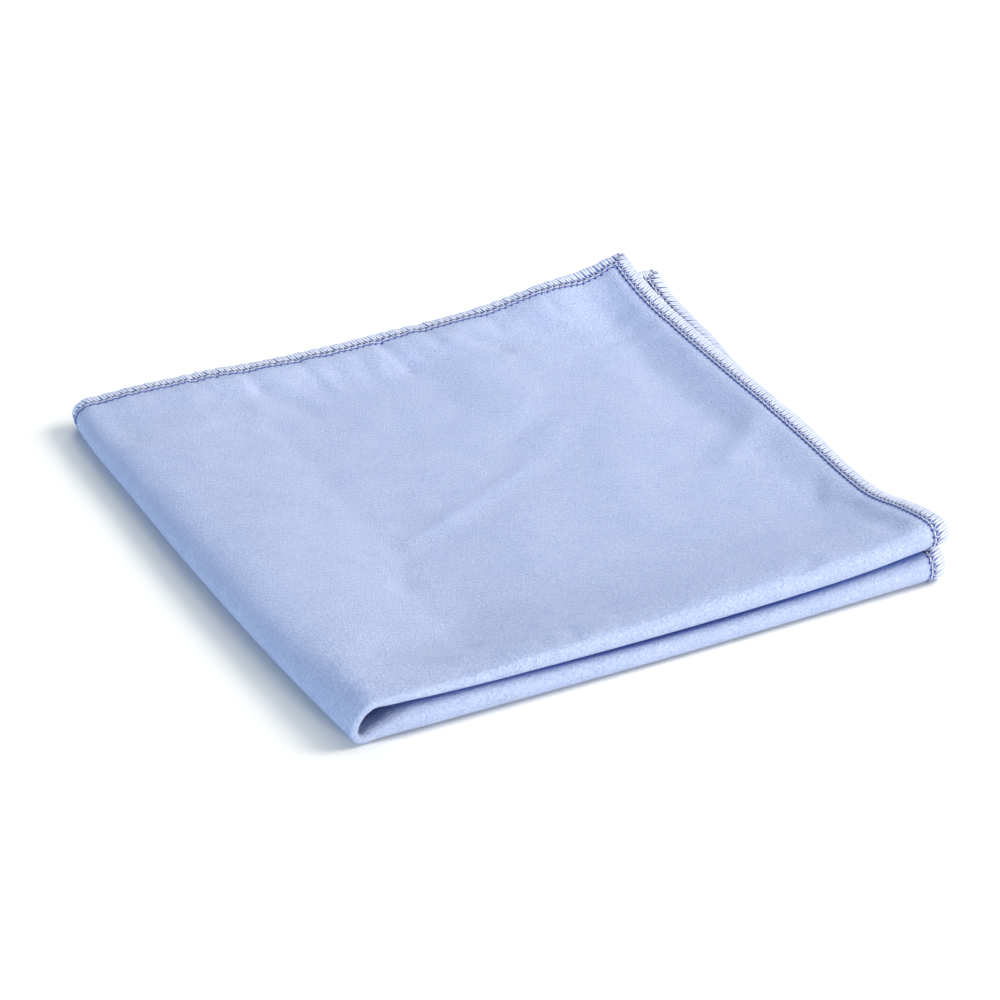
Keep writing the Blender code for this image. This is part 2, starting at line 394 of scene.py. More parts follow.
def over_hem(across, down):
    """How far in its pair's hems reach, seen from a place on an outer ply: the inner ply's back
    hem is pulled further forward."""
    upper = CORNER_FORWARD.upper_inner - CORNER_FORWARD.upper_outer
    lower = CORNER_FORWARD.lower_inner - CORNER_FORWARD.lower_outer
    pull = np.where(across < 0, upper, lower) * np.where(down < 0, 1.0, 0.0)
    near_right = smooth_step(np.abs(across) / HALF)
    near_back = smooth_step(2 * np.abs(down) / HALF)
    return np.abs(down) + pull * near_right * near_back


def flat_half_height(across, down):
    """Half the height of a pair of plies that lie close together."""
    cloth = CLOTH_THICKNESS + PLY_GAP / 2
    hem = HEM_THICKNESS + HEM_PLY_GAP / 2
    return cloth + (hem - cloth) * hem_share(across, over_hem(across, down), HEM_DRAPE)


def pair_half_height(across, down):
    """Half the height of a folded pair of plies, from skin to skin."""
    flat = flat_half_height(across, down)
    radius = read_rows(FRONT_FOLD, "radius", across)
    reach = read_rows(FRONT_FOLD, "reach", across)
    behind_nose = np.abs(down) - radius * np.pi / 2
    return radius + (flat - radius) * smooth_step(behind_nose / reach)


def fold_front(across, down):
    """First fold. Gives y, and the skin's height from the middle of its pair."""
    radius = read_rows(FRONT_FOLD, "radius", across)
    length = np.abs(down)
    angle = np.minimum(length / radius, np.pi / 2)
    y = read_rows(FRONT_FOLD, "tip_y", across)
    y = y + radius * (1 - np.cos(angle)) + np.maximum(length - radius * np.pi / 2, 0.0)
    height = pair_half_height(across, down) * np.sin(angle) * np.sign(down)
    return y, height


def fold_left(across, down, y, height, lift):
    """Second fold. Gives x and z of the skin."""
    nose_x = read_rows(LEFT_FOLD, "nose_x", y)
    radius = read_rows(LEFT_FOLD, "lower_radius", y)
    length = read_rows(LEFT_FOLD, "shoulder_length", y)
    rise = read_rows(LEFT_FOLD, "shoulder_height", y)
    fade = read_rows(LEFT_FOLD, "fade", y)
    ease = read_rows(LEFT_FOLD, "ease", y)
    half = pair_half_height(across, down)
    lower_half = pair_half_height(np.abs(across), down)
    quarter = radius * np.pi / 2
    # A quarter of an ellipse's length, by the usual close formula
    shoulder = 3 * (length + rise) - np.sqrt((3 * length + rise) * (length + 3 * rise))
    shoulder = np.pi / 4 * shoulder
    nose_z = half + radius

    # Lower run and lower quarter of the nose
    turn = np.clip(across / quarter, 0.0, 1.0) * np.pi / 2
    low_x = nose_x + radius - (radius - height) * np.cos(turn) + np.maximum(across - quarter, 0.0)
    low_z = nose_z - (radius - height) * np.sin(turn)

    # Shoulder, a quarter of an ellipse, and the upper run
    part = np.clip(-across / shoulder, 0.0, 1.0)
    part = part + (length - rise) / (length + rise) * part * (1 - part)
    turn = part * np.pi / 2
    out_x, out_z = rise * np.cos(turn), length * np.sin(turn)
    scale = height / np.hypot(out_x, out_z)
    beyond = np.maximum(-across - shoulder, 0.0)
    top_x = nose_x + length * (1 - np.cos(turn)) + out_x * scale + beyond
    high = nose_z + rise
    low = 2 * lower_half + PAIR_GAP + lift + half
    run_z = high + (low - high) * smooth_step((beyond / fade) ** ease) - height
    nose_top_z = nose_z + rise * np.sin(turn) - out_z * scale
    top_z = np.where(beyond > 0, run_z, nose_top_z)

    above = across < 0
    return np.where(above, top_x, low_x), np.where(above, top_z, low_z)


def slide(across, down):
    """How far the plies slide on each other: not at all at the folds that they share."""
    near_right = smooth_step(np.abs(across) / HALF)
    from_front = np.abs(down)
    near_back = smooth_step(2 * from_front / HALF)
    right, forward = np.zeros_like(near_right), np.zeros_like(near_right)
    for ply in Pull._fields:
        on_ply = (across < 0) == ply.startswith("upper")
        on_ply = on_ply & ((down >= 0) == ply.endswith("inner"))
        right = np.where(on_ply, read_rows(RIGHT_ENDS, ply, from_front) * near_right, right)
        pull = getattr(CORNER_FORWARD, ply) * near_right * near_back
        forward = np.where(on_ply, pull, forward)
    flare = FLARE * near_right * np.exp(-((down / FLARE_LENGTH) ** 2))
    return right + np.where(across < 0, flare, 0.0), forward


def lay_out(x, y):
    """The plan as it lies: the back leans left, and the hemmed edges aren't straight."""
    along = x / (HALF / 2)
    back = (y + HALF / 2) / HALF
    right = (x + HALF / 2) / HALF
    lean = BACK_LEAN * back
    bow = RIGHT_BOW * right * 4 * back * (1 - back)
    hollow = BACK_HOLLOW * back * (1 - along**2)
    return x + lean + bow, y - hollow


def blunt_corners(across, down):
    """The open sheet with its four corners drawn in a little."""
    from_corner = (HALF - np.abs(across)) ** 2 + (HALF - np.abs(down)) ** 2
    inward = BLUNT_CORNER * np.exp(-from_corner / BLUNT_LENGTH**2)
    return across - np.sign(across) * inward, down - np.sign(down) * inward


def crease_height(crease, left, front):
    """Height of one crease: a soft round section that dies away past both ends."""
    run_left, run_front = crease.end_left - crease.left, crease.end_front - crease.front
    length = math.hypot(run_left, run_front)
    to_left, to_front = left - crease.left, front - crease.front
    along = (to_left * run_left + to_front * run_front) / length
    aside = (to_left * run_front - to_front * run_left) / length
    past = np.maximum(np.maximum(-along, along - length), 0.0)
    return crease.height * np.exp(-(aside**2 + past**2) / crease.width**2)


def ruffle(left, front):
    """Small ripples that the back hem's stitching draws into the cloth."""
    near_hem = np.exp(-((HALF - front) / RUFFLE_REACH) ** 2)
    turn = 2 * np.pi * left / RUFFLE_LENGTH
    ripple = np.sin(turn + RUFFLE_WANDER * np.sin(turn / RUFFLE_WANDER_COUNT))
    uneven = 1 - RUFFLE_UNEVEN + RUFFLE_UNEVEN * np.sin(turn / RUFFLE_UNEVEN_COUNT)
    return RUFFLE_HEIGHT * near_hem * ripple * uneven


def relief(across, down, right, forward):
    """How much higher the upper pair lies than its smooth form, by its place in the plan. Its
    inner ply only goes down, and only where the outer ply would touch it."""
    left, front = np.abs(across) + right, np.abs(down) - forward
    height = ruffle(left, front)
    for crease in CREASES + PUCKERS:
        height = height + crease_height(crease, left, front)
    for wave in WAVES:
        turn = 2 * np.pi * (left / wave.left_length + front / wave.front_length)
        height = height + wave.height * np.sin(turn + wave.phase)
    share = smooth_step(left / RELIEF_FROM_LEFT) * smooth_step(front / RELIEF_FROM_FRONT)
    height = height * share
    free = pair_half_height(across, down) - flat_half_height(across, down)
    free = LEAST_FREE + 2 * np.maximum(free, 0.0)
    inner = np.minimum(height + free, 0.0)
    return np.where(across < 0, np.where(down < 0, height, inner), 0.0)


def folded(across, down):
    """The outer skin of the folded cloth, with its creases, as points in millimetres."""
    across, down = blunt_corners(across, down)
    right, forward = slide(across, down)
    lift = corner_lift(np.abs(across) + right, np.abs(down) - forward)
    y, height = fold_front(across, down)
    x, z = fold_left(across, down, y, height, lift)
    x, y = lay_out(x + right, y - forward)
    return np.stack([x - ORIGIN_X, y - ORIGIN_Y, z + relief(across, down, right, forward)], -1)


def skin_and_normal(across, down):
    """Points of the outer skin, and the directions that point out of it."""
    run_across = folded(across + NORMAL_STEP, down) - folded(across - NORMAL_STEP, down)
    run_down = folded(across, down + NORMAL_STEP) - folded(across, down - NORMAL_STEP)
    normal = np.cross(run_across, run_down)
    normal = normal / np.linalg.norm(normal, axis=-1, keepdims=True)
    return folded(across, down), normal


# ---------------------------------------------------------------- cloth sheet


def add_object(name, data):
    """A new object of the scene."""
    thing = bpy.data.objects.new(name, data)
    bpy.context.scene.collection.objects.link(thing)
    return thing


def add_map(mesh, name, places):
    """A UV map that holds one place for each vertex."""
    corners = np.empty(len(mesh.loops), int)
    mesh.loops.foreach_get("vertex_index", corners)
    mesh.uv_layers.new(name=name).data.foreach_set("uv", places[corners].ravel())
    mesh.update()


def half_lines(rows):
    """The places of grid lines on one side of a fold, without the one on the fold."""
    places = []
    for lines in rows:
        count = max(1, round((lines.stop - lines.start) / lines.step))
        places.extend(np.linspace(lines.start, lines.stop, count + 1)[1:])
    return np.array(places)


def sheet_points(across, down):
    """The skin of the cloth alone: under the stitching it lies lower than the hem's skin."""
    skin, normal = skin_and_normal(across, down)
    inset = HALF - np.maximum(np.abs(across), np.abs(down))
    sink = HEM_SINK * smooth_step((NEEDLE_INSET + SINK_SLOPE - inset) / SINK_SLOPE)
    puff = PUFF_HEIGHT * np.exp(-(((inset - PUFF_INSET) / PUFF_WIDTH) ** 2))
    return skin + normal * (puff - sink)[..., None]


def make_sheet():
    """The whole sheet as one grid, whose lines are moved to their places on the folded cloth."""
    across_lines = np.concatenate([-half_lines(UPPER_LINES)[::-1], [0.0], half_lines(LOWER_LINES)])
    down_lines = np.concatenate([-half_lines(OUTER_LINES)[::-1], [0.0], half_lines(INNER_LINES)])
    columns, rows = len(across_lines) - 1, len(down_lines) - 1
    shape = bmesh.new()
    bmesh.ops.create_grid(shape, x_segments=columns, y_segments=rows, size=1.0)
    flat = (np.array([point.co for point in shape.verts])[:, :2] + 1.0) / 2
    column = np.rint(flat[:, 0] * columns).astype(int)
    row = np.rint(flat[:, 1] * rows).astype(int)
    mesh = bpy.data.meshes.new("cloth_sheet")
    shape.to_mesh(mesh)
    shape.free()
    across, down = across_lines[column], down_lines[row]
    mesh.vertices.foreach_set("co", (sheet_points(across, down) * MM).ravel())
    mesh.shade_smooth()

    # The place on the open sheet, for what the material paints along the hem and the folds
    add_map(mesh, "sheet", np.stack([across, down], -1) / SIDE + 0.5)

    sheet = add_object("cloth_sheet", mesh)
    solid = sheet.modifiers.new("Thickness", "SOLIDIFY")
    solid.thickness = CLOTH_THICKNESS * MM
    solid.offset = -1
    solid.use_even_offset = True
    return sheet


# ---------------------------------------------------------------- overlock stitching


def strand(path, wide, half_width, half_height, sides):
    """A closed strand in hem space. wide is the direction of its broad side at each point."""
    path = np.asarray(path, float)
    tangent = np.gradient(path, axis=0)
    tangent /= np.linalg.norm(tangent, axis=1, keepdims=True)
    wide = np.broadcast_to(np.asarray(wide, float), path.shape)
    wide = wide - tangent * np.sum(wide * tangent, axis=1, keepdims=True)
    wide = wide / np.linalg.norm(wide, axis=1, keepdims=True)
    thin = np.cross(tangent, wide)
    turn = 2 * np.pi * np.arange(sides) / sides
    half_width = np.broadcast_to(half_width, len(path))[:, None, None]
    half_height = np.broadcast_to(half_height, len(path))[:, None, None]
    ring = wide[:, None] * np.cos(turn)[None, :, None] * half_width
    ring = ring + thin[:, None] * np.sin(turn)[None, :, None] * half_height
    points = (path[:, None] + ring).reshape(-1, 3)

    rings = len(path)
    faces = []
    for number in range(rings - 1):
        for side in range(sides):
            corner = number * sides + side
            after = number * sides + (side + 1) % sides
            faces.append((corner, corner + sides, after + sides, after))
    faces.append(tuple(range(sides)))
    faces.append(tuple(range(rings * sides - 1, (rings - 1) * sides - 1, -1)))

    # For the material: the place around the strand, and how far inside the edge it runs
    around = 1 - np.abs(1 - 2 * np.arange(sides) / sides)
    marks = np.stack([np.tile(around, rings), np.repeat(path[:, 1], sides)], -1)
    return points, faces, marks


def bundle(side):
    """One of a stitch's two thread bundles: from the needle line over the edge and back under."""
    face_inset, face_height = np.array(BUNDLE_PATH).T
    start, edge = BUNDLE_PATH[0], BUNDLE_PATH[-1]
    turn = np.radians(EDGE_TURNS)
    inset = np.concatenate([face_inset, edge.inset - EDGE_BULGE * np.sin(turn), face_inset[::-1]])
    height = np.concatenate([face_height, edge.height * np.cos(turn), -face_height[::-1]])
    inner = smooth_step((inset - NARROWS_FROM) / (start.inset - NARROWS_FROM))
    aside = side * (BUNDLE_ASIDE - (BUNDLE_ASIDE - BUNDLE_ASIDE_INNER) * inner)
    path = np.stack([aside, inset, height], -1)
    half_width = BUNDLE_HALF_WIDTH * (1 - BUNDLE_NARROWS * inner)
    thinner = smooth_step((inset - THINS_FROM) / THINS_LENGTH)
    half_thickness = BUNDLE_HALF_THICKNESS * (1 - BUNDLE_THINS * thinner)
    return strand(path, (1, 0, 0), half_width, half_thickness, BUNDLE_SIDES)


def edge_chain():
    """The loops of the two looper threads, which lie in a row along the very edge."""
    along = STITCH_PITCH * np.array(CHAIN_SHARES)
    path = np.stack([along, np.full_like(along, CHAIN_INSET), np.zeros_like(along)], -1)
    return strand(path, (0, 1, 0), CHAIN_HALF_WIDTH, CHAIN_HALF_HEIGHT, CHAIN_SIDES)


def leg(side, face):
    """From the bundle's inner end to a needle hole."""
    share, inset, height = np.array(LEG_PATH).T
    along = side * (LEG_ASIDE + (STITCH_PITCH / 2 - LEG_ASIDE) * share)
    path = np.stack([along, inset, face * height], -1)
    flank = (LEG_FLANK_ALONG, -LEG_FLANK_INWARD * side, 0)
    return strand(path, flank, LEG_RADIUS, LEG_RADIUS, LEG_SIDES)


def dash(face):
    """The needle thread between two holes."""
    share, height = np.array(DASH_PATH).T
    along = STITCH_PITCH / 2 * share
    path = np.stack([along, np.full_like(along, NEEDLE_INSET), face * height], -1)
    return strand(path, (0, 1, 0), DASH_HALF_WIDTH, DASH_HALF_HEIGHT, DASH_SIDES)


def join_strands(strands):
    """Points, faces and marks of many strands as one set."""
    points, faces, marks, start = [], [], [], 0
    for own_points, own_faces, own_marks in strands:
        points.append(own_points)
        marks.append(own_marks)
        faces.extend(tuple(corner + start for corner in face) for face in own_faces)
        start += len(own_points)
    return np.concatenate(points), faces, np.concatenate(marks)


def one_stitch():
    """All strands of a stitch, around its middle."""
    legs = [leg(side, face) for side in (-1, 1) for face in (1, -1)]
    return join_strands([bundle(-1), bundle(1), edge_chain(), *legs, dash(1), dash(-1)])


# Each side of the open sheet: which way its edge faces.
Hem = namedtuple("Hem", "name edge_across edge_down")
HEMS = (
    Hem("hem_back_outer", 0, -1),
    Hem("hem_back_inner", 0, 1),
    Hem("hem_right_upper", -1, 0),
    Hem("hem_right_lower", 1, 0),
)


def on_hem(hem, along, inset, height):
    """From hem space to the folded cloth."""
    reach = HALF - inset
    if hem.edge_across:
        across, down = hem.edge_across * reach, along
    else:
        across, down = along, hem.edge_down * reach
    skin, normal = skin_and_normal(across, down)
    return skin + normal * (height - HEM_THICKNESS / 2)[..., None]


def place_stitch(points, number, onward, chance):
    """A stitch in its place along the hem, a little different from the others."""
    along, inset, height = points.T
    centre = (number - (STITCH_COUNT - 1) / 2) * STITCH_PITCH
    from_corner = HALF - abs(centre)
    squeeze = min(1.0, (from_corner + CORNER_MITRE) / (NEEDLE_INSET + CORNER_MITRE))
    wider = chance.normal(0, WIDTH_SPREAD)
    thicker = chance.normal(0, THICKNESS_SPREAD)
    lean = chance.normal(0, LEAN_SPREAD)
    lean = lean + onward * STITCH_LEAN * smooth_step(from_corner / LEAN_FROM_CORNER)
    moved = chance.normal(0, PLACE_SPREAD)
    outer = np.clip((NEEDLE_INSET - inset) / NEEDLE_INSET, 0, 1)
    own_along = centre + along * (1 + wider * outer) + (lean + moved) * outer
    own_height = height * (1 + thicker * outer)
    return np.stack([own_along, inset * squeeze, own_height], -1)


def make_hem(hem, chance):
    """The stitching of one side of the open sheet, as one mesh."""
    stitch, stitch_faces, stitch_marks = one_stitch()
    # The sewing goes round the cloth in one direction, and its stitches lean that way
    onward = hem.edge_across - hem.edge_down
    stitches = []
    for number in range(STITCH_COUNT):
        placed = place_stitch(stitch, number, onward, chance)
        stitches.append((placed, stitch_faces, stitch_marks))
    points, faces, marks = join_strands(stitches)
    along, inset, height = points.T
    along = np.clip(along, -HALF - CORNER_SLACK, HALF + CORNER_SLACK)
    mesh = bpy.data.meshes.new(hem.name)
    mesh.from_pydata((on_hem(hem, along, inset, height) * MM).tolist(), [], faces)
    mesh.shade_smooth()
    add_map(mesh, "strand", marks)
    return add_object(hem.name, mesh)


# ---------------------------------------------------------------- materials

# Rows of settings for the nodes below. Lengths are in millimetres.
Span = namedtuple("Span", "start end")
Lumps = namedtuple("Lumps", "size detail roughness")
Crevice = namedtuple("Crevice", "reach open_share strength")
Finish = namedtuple("Finish", "roughness specular sheen sheen_roughness")

CREVICE_SAMPLES = 6
CREVICE_CLOSED_SHARE = 0.1


class Nodes:
    """Short calls for making a material's nodes. What goes into a node is a number, a colour or
    another node's output."""

    def __init__(self, name):
        self.material = bpy.data.materials.new(name)
        self.material.use_nodes = True
        self.tree = self.material.node_tree
        self.shader = self.tree.nodes["Principled BSDF"]

    def link(self, value, socket):
        """Leads an output to a socket, or sets the socket to a constant."""
        if isinstance(value, bpy.types.NodeSocket):
            self.tree.links.new(value, socket)
        else:
            socket.default_value = value

    def math(self, operation, *values):
        """One sum, such as MULTIPLY_ADD: first times second plus third."""
        node = self.tree.nodes.new("ShaderNodeMath")
        node.operation = operation
        for value, socket in zip(values, node.inputs):
            self.link(value, socket)
        return node.outputs[0]

    def noise(self, place, lumps):
        """Noise whose lumps are about their size in millimetres across."""
        node = self.tree.nodes.new("ShaderNodeTexNoise")
        self.link(place, node.inputs["Vector"])
        node.inputs["Scale"].default_value = 1 / (lumps.size * MM)
        node.inputs["Detail"].default_value = lumps.detail
        node.inputs["Roughness"].default_value = lumps.roughness
        return node.outputs["Fac"]

    def place(self):
        """The place on the piece, in metres."""
        return self.tree.nodes.new("ShaderNodeTexCoord").outputs["Object"]

    def height(self, place):
        """The height of a place, in metres."""
        node = self.tree.nodes.new("ShaderNodeSeparateXYZ")
        self.link(place, node.inputs[0])
        return node.outputs["Z"]

    def combine(self, x, y):
        """A flat place from its two parts."""
        node = self.tree.nodes.new("ShaderNodeCombineXYZ")
        self.link(x, node.inputs["X"])
        self.link(y, node.inputs["Y"])
        return node.outputs[0]

    def uv(self, name):
        """Both parts of a UV map."""
        node = self.tree.nodes.new("ShaderNodeUVMap")
        node.uv_map = name
        split = self.tree.nodes.new("ShaderNodeSeparateXYZ")
        self.link(node.outputs[0], split.inputs[0])
        return split.outputs[0], split.outputs[1]

    def blend(self, share, first, second):
        """The first colour at share 0, the second at share 1."""
        node = self.tree.nodes.new("ShaderNodeMix")
        node.data_type = "RGBA"
        self.link(share, node.inputs["Factor"])
        self.link(first, node.inputs["A"])
        self.link(second, node.inputs["B"])
        return node.outputs["Result"]

    def ramp(self, value, span):
        """value from the span's start to its end as 0 to 1, held at both ends."""
        node = self.tree.nodes.new("ShaderNodeMapRange")
        self.link(value, node.inputs["Value"])
        node.inputs["From Min"].default_value = span.start
        node.inputs["From Max"].default_value = span.end
        return node.outputs["Result"]

    def crevice_shade(self, row):
        """Share of painted shade: 0 on surfaces that see at least their open share of the space
        within reach, and up to strength where they see almost none of it."""
        node = self.tree.nodes.new("ShaderNodeAmbientOcclusion")
        node.samples = CREVICE_SAMPLES
        node.inputs["Distance"].default_value = row.reach * MM
        shut = self.ramp(node.outputs["AO"], Span(row.open_share, CREVICE_CLOSED_SHARE))
        return self.math("MULTIPLY", shut, row.strength)

    def finish(self, colour, height, relief, row):
        """The shader's inputs. relief is in millimetres, for a height that goes from 0 to 1."""
        bump = self.tree.nodes.new("ShaderNodeBump")
        bump.inputs["Distance"].default_value = relief * MM
        self.link(height, bump.inputs["Height"])
        self.link(bump.outputs["Normal"], self.shader.inputs["Normal"])
        self.link(colour, self.shader.inputs["Base Color"])
        self.shader.inputs["Roughness"].default_value = row.roughness
        self.shader.inputs["Specular IOR Level"].default_value = row.specular
        self.shader.inputs["Sheen Weight"].default_value = row.sheen
        self.shader.inputs["Sheen Roughness"].default_value = row.sheen_roughness
        self.shader.inputs["Sheen Tint"].default_value = (1.0, 1.0, 1.0, 1.0)
        return self.material


def linear(*screen):
    """A colour given as the 0 to 255 values of a screen."""
    parts = [value / 255 for value in screen]
    lit = [part / 12.92 if part <= 0.04045 else ((part + 0.055) / 1.055) ** 2.4 for part in parts]
    return (*lit, 1.0)


CLOTH_BODY = linear(138, 156, 206)
CLOTH_TIPS = linear(191, 203, 229)
CLOTH_PIT = linear(118, 138, 198)
# Painted shade: dark in the needle holes, bluer under the stitches
HOLE_SHADE_BLUE = linear(26, 48, 150)
UNDER_SHADE_BLUE = linear(84, 116, 204)
# Painted bluer shade in the gaps between the plies and between the strands
CREVICE_SHADE_BLUE = linear(46, 104, 216)
THREAD_LIGHT = linear(242, 244, 249)
THREAD_DARK = linear(184, 196, 230)
# Painted shade in the slots between the bundles
THREAD_SLOT_SHADE = linear(48, 84, 186)

# The nap: tufts, a grain that is coarser over the front fold, and slightly darker patches.
TUFTS = Lumps(0.4, 3.0, 0.65)
TUFT_STRETCH = 1.8
TUFT_STRENGTH = 0.9
GRAIN = Lumps(1.0, 2.0, 0.55)
GRAIN_STRENGTH = 0.4
GRAIN_MORE_IN_FRONT = 0.25
IN_FRONT_FADE = Span(14.0, 60.0)
TIPS_FROM = Span(0.2, 0.7)
NAP_RELIEF = 0.55
PATCHES = Lumps(9.0, 3.0, 0.6)
PATCH_SHADED = Span(0.66, 0.3)
PATCH_STRENGTH = 0.16
CLOTH_FINISH = Finish(0.62, 0.7, 0.06, 0.5)

# Distances from the edge, from a needle hole's middle and above the floor, in millimetres, over
# which painted shade on the cloth changes: under the stitches, in the needle holes, and the bluer
# painted shade in the gaps between the plies.
UNDER_STITCHES = Span(5.0, 4.6)
UNDER_SHADE_STRENGTH = 0.85
HOLE_RIM = Span(0.3, 0.7)
PLY_CREVICE_SHADE = Crevice(9.0, 0.5, 0.9)
CLEAR_OF_HEM = Span(5.6, 8.0)
CREVICE_SHADE_ON_HEM = 0.3
CLEAR_OF_FLOOR = Span(2.5, 6.0)

# The thread: filaments that wander a little, with fuzz on them.
WANDER = Lumps(1.0, 2.0, 0.5)
WANDER_STRENGTH = 0.25
FILAMENT_TURNS = 34.0
FILAMENT_STRENGTH = 0.6
FUZZ = Lumps(0.4, 2.0, 0.6)
FUZZ_STRENGTH = 0.5
LIGHT_FROM = Span(0.15, 0.85)
THREAD_RELIEF = 0.16
# Painted bluer shade where other strands and the cloth close the thread in
THREAD_CREVICE_SHADE = Crevice(1.6, 0.92, 0.85)
THREAD_FINISH = Finish(0.7, 0.2, 0.05, 0.4)

# Painted shade of the slots between bundles lies along the narrow sides of strands. The way round
# a strand is 0 in the middle of a broad side and 0.5 on a narrow one. Off the edge the painted slot
# shade is stronger and the thread lighter.
FLANK = Span(0.17, 0.32)
OFF_EDGE = Span(0.7, 2.8)
EDGE_DARKENING = 0.6
SLOT_SHADE_AT_EDGE = 0.1
SLOT_SHADE_MORE_INSIDE = 0.52


def cloth_material():
    """Brushed microfibre: a fine matt nap, coarser over the front fold, dark painted shade in the
    needle holes and bluer painted shade under the stitches and between the plies.
    """
    nodes = Nodes("microfibre")
    place = nodes.place()
    across, down = nodes.uv("sheet")
    from_left = nodes.math("ABSOLUTE", nodes.math("MULTIPLY_ADD", across, SIDE, -HALF))
    from_front = nodes.math("ABSOLUTE", nodes.math("MULTIPLY_ADD", down, SIDE, -HALF))

    # The nap is brushed along the cloth, so its tufts are longer from front to back
    tuft_across = nodes.math("MULTIPLY", across, SIDE * MM)
    tuft_down = nodes.math("MULTIPLY", down, SIDE * MM / TUFT_STRETCH)
    tufts = nodes.noise(nodes.combine(tuft_across, tuft_down), TUFTS)
    in_front = nodes.math("SUBTRACT", 1.0, nodes.ramp(from_front, IN_FRONT_FADE))
    strength = nodes.math("MULTIPLY_ADD", in_front, GRAIN_MORE_IN_FRONT, GRAIN_STRENGTH)
    grain = nodes.math("SUBTRACT", nodes.noise(place, GRAIN), 0.5)
    grain = nodes.math("MULTIPLY", grain, strength)
    nap = nodes.math("ADD", nodes.math("MULTIPLY", tufts, TUFT_STRENGTH), grain)

    colour = nodes.blend(nodes.ramp(nap, TIPS_FROM), CLOTH_BODY, CLOTH_TIPS)
    patch = nodes.ramp(nodes.noise(place, PATCHES), PATCH_SHADED)
    colour = nodes.blend(nodes.math("MULTIPLY", patch, PATCH_STRENGTH), colour, CLOTH_PIT)

    # Painted shade: bluer under the stitches, and dark needle holes on their inner line, one at
    # each end of a stitch
    inset = nodes.math("SUBTRACT", HALF, nodes.math("MAXIMUM", from_left, from_front))
    along = nodes.math("MINIMUM", from_left, from_front)
    to_middle = nodes.math("PINGPONG", along, STITCH_PITCH / 2)
    to_hole = nodes.math("SUBTRACT", STITCH_PITCH / 2, to_middle)
    aside = nodes.math("SUBTRACT", inset, NEEDLE_INSET + HOLE_ASIDE)
    squares = [nodes.math("POWER", side, 2.0) for side in (to_hole, aside)]
    distance = nodes.math("SQRT", nodes.math("ADD", *squares))
    hole = nodes.math("SUBTRACT", 1.0, nodes.ramp(distance, HOLE_RIM))
    under = nodes.math("MULTIPLY", nodes.ramp(inset, UNDER_STITCHES), UNDER_SHADE_STRENGTH)
    colour = nodes.blend(under, colour, UNDER_SHADE_BLUE)
    colour = nodes.blend(hole, colour, HOLE_SHADE_BLUE)

    # Painted shade in the gaps between the plies, bluer because the light there comes off the cloth
    # itself
    off_hem = nodes.ramp(inset, CLEAR_OF_HEM)
    off_hem = nodes.math("MULTIPLY_ADD", off_hem, 1 - CREVICE_SHADE_ON_HEM, CREVICE_SHADE_ON_HEM)
    height = nodes.math("DIVIDE", nodes.height(place), MM)
    off_floor = nodes.ramp(height, CLEAR_OF_FLOOR)
    gap = nodes.math("MULTIPLY", off_hem, off_floor)
    gap = nodes.math("MULTIPLY", nodes.crevice_shade(PLY_CREVICE_SHADE), gap)
    colour = nodes.blend(gap, colour, CREVICE_SHADE_BLUE)
    return nodes.finish(colour, nap, NAP_RELIEF, CLOTH_FINISH)


def thread_material():
    """Soft textured thread: many fine filaments that run along each strand, with painted blue shade
    in the slots between bundles and where strands crowd together.
    """
    nodes = Nodes("overlock_thread")
    place = nodes.place()
    around, inset = nodes.uv("strand")
    wander = nodes.math("MULTIPLY", nodes.noise(place, WANDER), WANDER_STRENGTH)
    turn = nodes.math("MULTIPLY", nodes.math("ADD", around, wander), FILAMENT_TURNS)
    filaments = nodes.math("MULTIPLY_ADD", nodes.math("SINE", turn), 0.5, 0.5)
    filaments = nodes.math("MULTIPLY", filaments, FILAMENT_STRENGTH)
    fuzz = nodes.math("MULTIPLY", nodes.noise(place, FUZZ), FUZZ_STRENGTH)
    height = nodes.math("ADD", filaments, fuzz)
    colour = nodes.blend(nodes.ramp(height, LIGHT_FROM), THREAD_DARK, THREAD_LIGHT)

    # Painted shade of blue slots between the bundles, weaker where they turn over the edge, and
    # darker thread at the very edge
    flank = nodes.math("ABSOLUTE", nodes.math("SUBTRACT", around, 0.5))
    off_edge = nodes.ramp(inset, OFF_EDGE)
    darker_edge = nodes.math("MULTIPLY_ADD", off_edge, -EDGE_DARKENING, EDGE_DARKENING)
    colour = nodes.blend(darker_edge, colour, THREAD_DARK)
    slot_shade = nodes.math("MULTIPLY_ADD", off_edge, SLOT_SHADE_MORE_INSIDE, SLOT_SHADE_AT_EDGE)
    slot_shade = nodes.math("MULTIPLY", nodes.ramp(flank, FLANK), slot_shade)
    colour = nodes.blend(slot_shade, colour, THREAD_SLOT_SHADE)
    # Painted bluer shade where other strands and the cloth close the thread in
    colour = nodes.blend(nodes.crevice_shade(THREAD_CREVICE_SHADE), colour, CREVICE_SHADE_BLUE)
    return nodes.finish(colour, height, THREAD_RELIEF, THREAD_FINISH)


# ---------------------------------------------------------------- stage, light and camera

CAMERA_AZIMUTH = -26.865
CAMERA_ELEVATION = 33.10
CAMERA_DISTANCE = 1.2198
CAMERA_TARGET = (0.00049, 0.00032, 0.0)
CAMERA_LENS = 139.54
CAMERA_FAR_END = 20.0

FLOOR_SIZE = 4.0
FLOOR_DROP = 0.0002
FLOOR_COLOUR = (0.88, 0.88, 0.875, 1.0)
FLOOR_ROUGHNESS = 0.9
FLOOR_SPECULAR = 0.1

